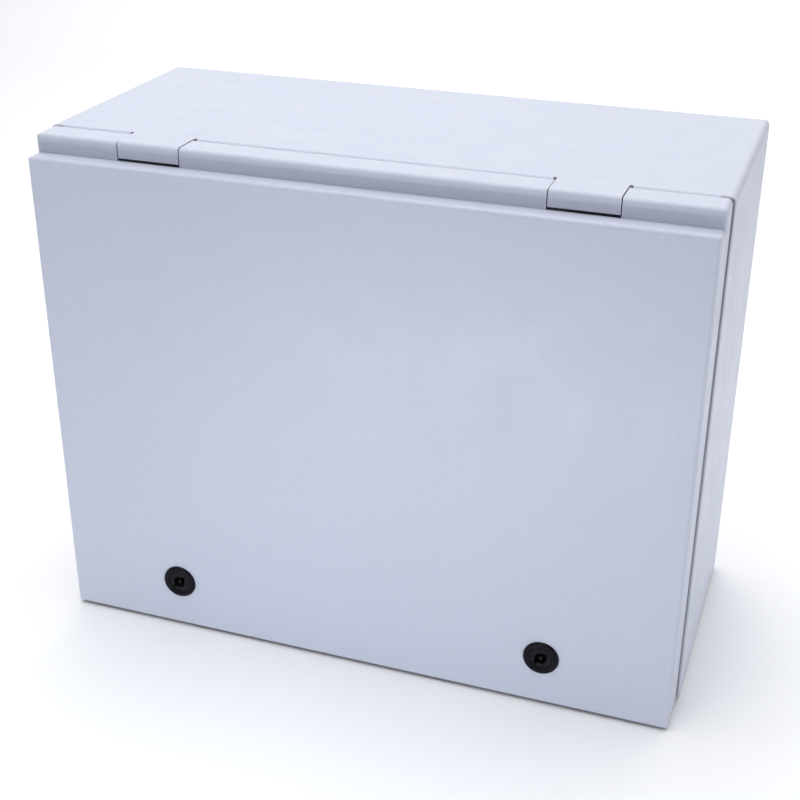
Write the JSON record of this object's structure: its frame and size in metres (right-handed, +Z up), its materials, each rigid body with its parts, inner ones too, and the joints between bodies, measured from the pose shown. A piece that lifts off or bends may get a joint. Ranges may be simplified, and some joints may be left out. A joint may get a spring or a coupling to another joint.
{
  "type": "automatic transfer switch",
  "caption": "Wall-mounted steel transfer switch box with a top-hinged door, quarter-turn locks, and breakers, interlocked contactors and a controller inside.",
  "frame": {"origin": "middle of the bottom of the bounding box, under the body", "axes": "+Z up, the door and its locks face -Y, the hinges run along X at the top of the door"},
  "size_m": [0.5, 0.239, 0.4],
  "materials": {
    "grey_paint": "fine-textured pale grey powder coat, satin",
    "galvanised": "zinc-plated sheet, faint spangle",
    "zinc_fastener": "zinc-plated steel",
    "black_lock": "moulded black nylon, satin",
    "lock_insert": "black-coated die casting",
    "seal_foam": "matt polyurethane foam",
    "light_case": "light grey moulded plastic",
    "dark_case": "dark grey moulded plastic",
    "black_handle": "black moulded plastic",
    "indicator": "orange moulded plastic",
    "winding": "taped copper winding",
    "core_steel": "laminated electrical steel",
    "contact_metal": "bare copper alloy",
    "relay_clear": "clear polycarbonate cover",
    "display": "dark display window",
    "blue_case": "blue-grey moulded plastic",
    "terminal_grey": "grey-beige polyamide",
    "duct_grey": "grey rigid PVC",
    "brown_wire": "PVC insulation",
    "black_wire": "PVC insulation",
    "blue_wire": "PVC insulation",
    "red_wire": "PVC insulation",
    "earth_wire": "green and yellow PVC insulation",
    "braid": "tinned copper braid",
    "green_button": "moulded plastic",
    "amber_button": "moulded plastic",
    "blue_button": "moulded plastic"
  },
  "bodies": {
    "enclosure": {"enclosure_body": "grey_paint", "hinge_blocks": "grey_paint", "mounting_plate": "galvanised", "plate_nuts": "zinc_fastener", "gland_plate": "galvanised", "gland_plate_gasket": "seal_foam", "gland_plate_screws": "zinc_fastener", "body_earth_studs": "contact_metal", "din_rails": "galvanised", "rail_screws": "zinc_fastener", "mains_breaker": "light_case", "generator_breaker": "light_case", "control_breaker": "light_case", "terminal_screws": "zinc_fastener", "mains_contactor_base": "dark_case", "mains_contactor_cover": "light_case", "mains_contactor_coil": "winding", "mains_contactor_core": "core_steel", "mains_contactor_fixed_contacts": "contact_metal", "generator_contactor_base": "dark_case", "generator_contactor_cover": "light_case", "generator_contactor_coil": "winding", "generator_contactor_core": "core_steel", "generator_contactor_fixed_contacts": "contact_metal", "contactor_interlock": "duct_grey", "controller_housing": "dark_case", "controller_lens": "display", "phase_monitor": "blue_case", "relay_sockets": "dark_case", "relays": "relay_clear", "terminal_blocks": "terminal_grey", "earth_bar": "contact_metal", "wiring_ducts": "duct_grey", "duct_covers": "duct_grey", "mains_wires": "brown_wire", "generator_wires": "black_wire", "load_wires": "blue_wire", "control_wires": "red_wire", "earth_wire": "earth_wire", "earth_strap": "braid"},
    "door": {"door_shell": "grey_paint", "door_seal": "seal_foam", "hinge_pins": "zinc_fastener", "lock_housings": "black_lock", "lock_nuts": "zinc_fastener", "door_earth_stud": "contact_metal"},
    "left_lock": {"left_lock_rotor": "lock_insert", "left_lock_cam": "zinc_fastener"},
    "right_lock": {"right_lock_rotor": "lock_insert", "right_lock_cam": "zinc_fastener"},
    "mains_handle": {"mains_breaker_handle": "black_handle"},
    "generator_handle": {"generator_breaker_handle": "black_handle"},
    "control_handle": {"control_breaker_handle": "black_handle"},
    "mains_carrier": {"mains_contactor_carrier": "indicator", "mains_contactor_bridge_contacts": "contact_metal"},
    "generator_carrier": {"generator_contactor_carrier": "indicator", "generator_contactor_bridge_contacts": "contact_metal"},
    "auto_button": {"auto_button": "green_button"},
    "manual_button": {"manual_button": "amber_button"},
    "test_button": {"test_button": "blue_button"}
  },
  "joints": [
    {"name": "door_hinge", "type": "hinge", "parent": "enclosure", "child": "door", "pos_m": [0, -0.0925, 0.3935], "axis": [-1, 0, 0], "range_deg": [0, 120], "deforming": ["earth_strap"]},
    {"name": "left_lock_turn", "type": "hinge", "parent": "door", "child": "left_lock", "pos_m": [-0.15, -0.1165, 0.043], "axis": [0, 1, 0], "range_deg": [0, 90]},
    {"name": "right_lock_turn", "type": "hinge", "parent": "door", "child": "right_lock", "pos_m": [0.15, -0.1165, 0.043], "axis": [0, -1, 0], "range_deg": [0, 90]},
    {"name": "mains_handle_throw", "type": "hinge", "parent": "enclosure", "child": "mains_handle", "pos_m": [-0.125, 0.036, 0.315], "axis": [-1, 0, 0], "range_deg": [0, 80]},
    {"name": "generator_handle_throw", "type": "hinge", "parent": "enclosure", "child": "generator_handle", "pos_m": [-0.045, 0.036, 0.315], "axis": [-1, 0, 0], "range_deg": [0, 80]},
    {"name": "control_handle_throw", "type": "hinge", "parent": "enclosure", "child": "control_handle", "pos_m": [0.147, 0.036, 0.315], "axis": [-1, 0, 0], "range_deg": [0, 80]},
    {"name": "mains_carrier_slide", "type": "slide", "parent": "enclosure", "child": "mains_carrier", "axis": [0, 1, 0], "range_m": [0, 0.0045], "stiffness_N_per_m": 300},
    {"name": "generator_carrier_slide", "type": "slide", "parent": "enclosure", "child": "generator_carrier", "axis": [0, 1, 0], "range_m": [0, 0.0045], "stiffness_N_per_m": 300},
    {"name": "auto_button_press", "type": "slide", "parent": "enclosure", "child": "auto_button", "axis": [0, 1, 0], "range_m": [0, 0.0015], "stiffness_N_per_m": 300},
    {"name": "manual_button_press", "type": "slide", "parent": "enclosure", "child": "manual_button", "axis": [0, 1, 0], "range_m": [0, 0.0015], "stiffness_N_per_m": 300},
    {"name": "test_button_press", "type": "slide", "parent": "enclosure", "child": "test_button", "axis": [0, 1, 0], "range_m": [0, 0.0015], "stiffness_N_per_m": 300}
  ]
}
